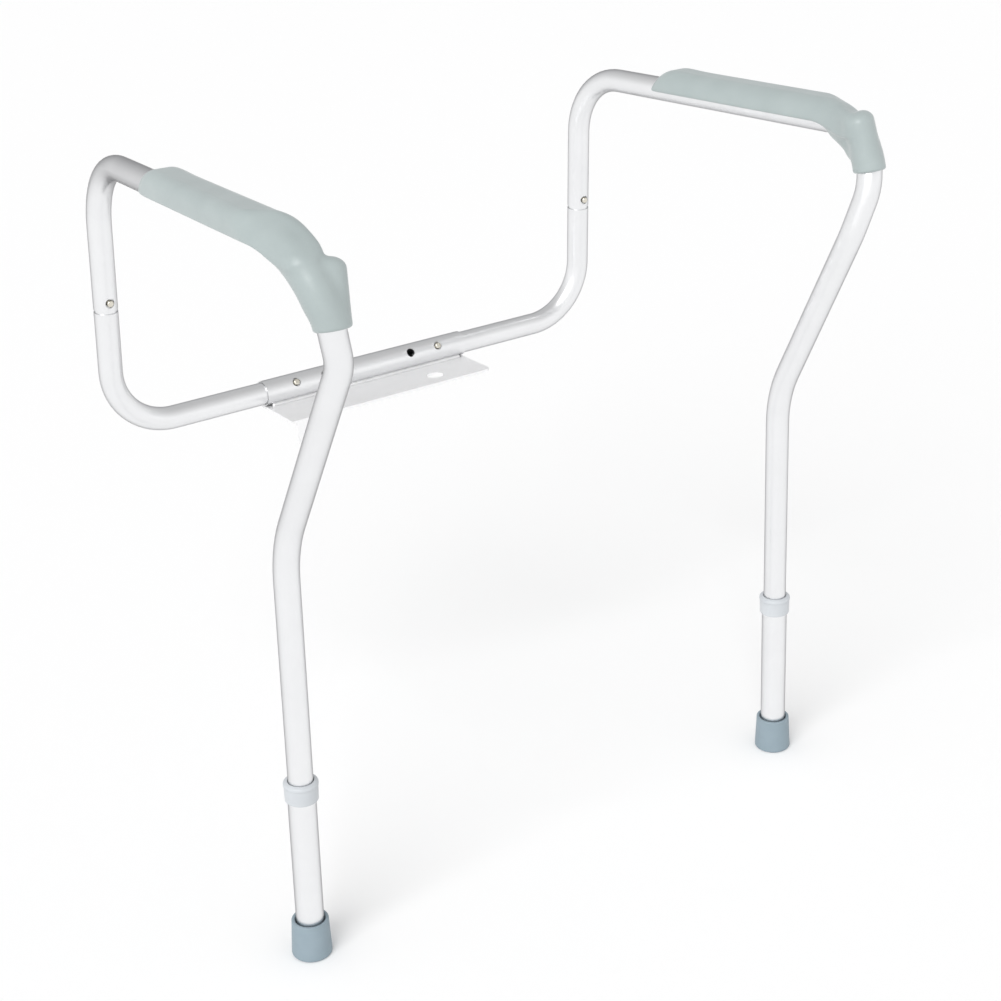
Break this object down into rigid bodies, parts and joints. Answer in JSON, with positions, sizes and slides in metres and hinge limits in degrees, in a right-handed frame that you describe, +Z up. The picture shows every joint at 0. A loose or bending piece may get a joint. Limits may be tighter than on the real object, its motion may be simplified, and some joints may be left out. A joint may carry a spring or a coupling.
{
  "type": "toilet safety frame",
  "caption": "Toilet safety frame: padded bent-tube arms telescoping into a seat-bolt bracket, with height-adjustable front legs.",
  "frame": {"origin": "centre of the two seat-bolt slots, on the underside of the bracket plate", "axes": "+Z up along the seat bolts, -Y to the front, +X to the right as seen from in front"},
  "size_m": [0.7022, 0.5132, 0.7849],
  "materials": {
    "side_tube": "satin anodised",
    "leg_tube": "satin anodised",
    "insert": "bright drawn",
    "bracket": "satin anodised",
    "bracket_plate": "satin plated",
    "weld": "bright weld bead",
    "pad": "soft moulded foam skin, pale sage grey",
    "collar": "moulded, light grey",
    "foot": "moulded, blue-grey",
    "zinc_steel": "zinc plated",
    "button": "nickel plated",
    "spring_steel": "blued"
  },
  "bodies": {
    "bracket": {"bracket_tube": "bracket", "bracket_plate": "bracket_plate", "weld_front": "weld", "weld_rear": "weld"},
    "left_side": {"left_rear_tube": "side_tube", "left_splice_insert": "insert", "left_arm_tube": "side_tube", "left_armrest": "pad", "left_width_clip": "spring_steel", "left_splice_clip": "spring_steel", "left_leg_clip": "spring_steel"},
    "left_leg": {"left_leg_tube": "leg_tube", "left_collar": "collar", "left_foot_tip": "foot", "left_washer": "zinc_steel"},
    "left_width_snap": {"left_width_button": "button"},
    "left_splice_snap": {"left_splice_button": "button"},
    "left_leg_snap": {"left_leg_button": "button"},
    "right_side": {"right_rear_tube": "side_tube", "right_splice_insert": "insert", "right_arm_tube": "side_tube", "right_armrest": "pad", "right_width_clip": "spring_steel", "right_splice_clip": "spring_steel", "right_leg_clip": "spring_steel"},
    "right_leg": {"right_leg_tube": "leg_tube", "right_collar": "collar", "right_foot_tip": "foot", "right_washer": "zinc_steel"},
    "right_width_snap": {"right_width_button": "button"},
    "right_splice_snap": {"right_splice_button": "button"},
    "right_leg_snap": {"right_leg_button": "button"}
  },
  "joints": [
    {"name": "left_width_slide", "type": "slide", "parent": "bracket", "child": "left_side", "axis": [1, 0, 0], "range_m": [0, 0.0381], "deforming": ["left_width_button"]},
    {"name": "left_leg_slide", "type": "slide", "parent": "left_side", "child": "left_leg", "axis": [-0.0203, 0, -0.9998], "range_m": [-0.0762, 0.0254], "deforming": ["left_leg_button"]},
    {"name": "left_width_button_press", "type": "slide", "parent": "left_side", "child": "left_width_snap", "axis": [0, 0.8192, -0.5736], "range_m": [0, 0.006], "stiffness_N_per_m": 800, "deforming": ["left_width_clip"]},
    {"name": "left_splice_button_press", "type": "slide", "parent": "left_side", "child": "left_splice_snap", "axis": [0.0014, 0.9978, 0.0667], "range_m": [0, 0.006], "stiffness_N_per_m": 800, "deforming": ["left_splice_clip"]},
    {"name": "left_leg_button_press", "type": "slide", "parent": "left_side", "child": "left_leg_snap", "axis": [0, -1, 0], "range_m": [0, 0.006], "stiffness_N_per_m": 800, "deforming": ["left_leg_clip"]},
    {"name": "right_width_slide", "type": "slide", "parent": "bracket", "child": "right_side", "axis": [-1, 0, 0], "range_m": [0, 0.0381], "deforming": ["right_width_button"]},
    {"name": "right_leg_slide", "type": "slide", "parent": "right_side", "child": "right_leg", "axis": [0.0203, 0, -0.9998], "range_m": [-0.0762, 0.0254], "deforming": ["right_leg_button"]},
    {"name": "right_width_button_press", "type": "slide", "parent": "right_side", "child": "right_width_snap", "axis": [0, 0.8192, -0.5736], "range_m": [0, 0.006], "stiffness_N_per_m": 800, "deforming": ["right_width_clip"]},
    {"name": "right_splice_button_press", "type": "slide", "parent": "right_side", "child": "right_splice_snap", "axis": [-0.0014, 0.9978, 0.0667], "range_m": [0, 0.006], "stiffness_N_per_m": 800, "deforming": ["right_splice_clip"]},
    {"name": "right_leg_button_press", "type": "slide", "parent": "right_side", "child": "right_leg_snap", "axis": [0, -1, 0], "range_m": [0, 0.006], "stiffness_N_per_m": 800, "deforming": ["right_leg_clip"]}
  ]
}
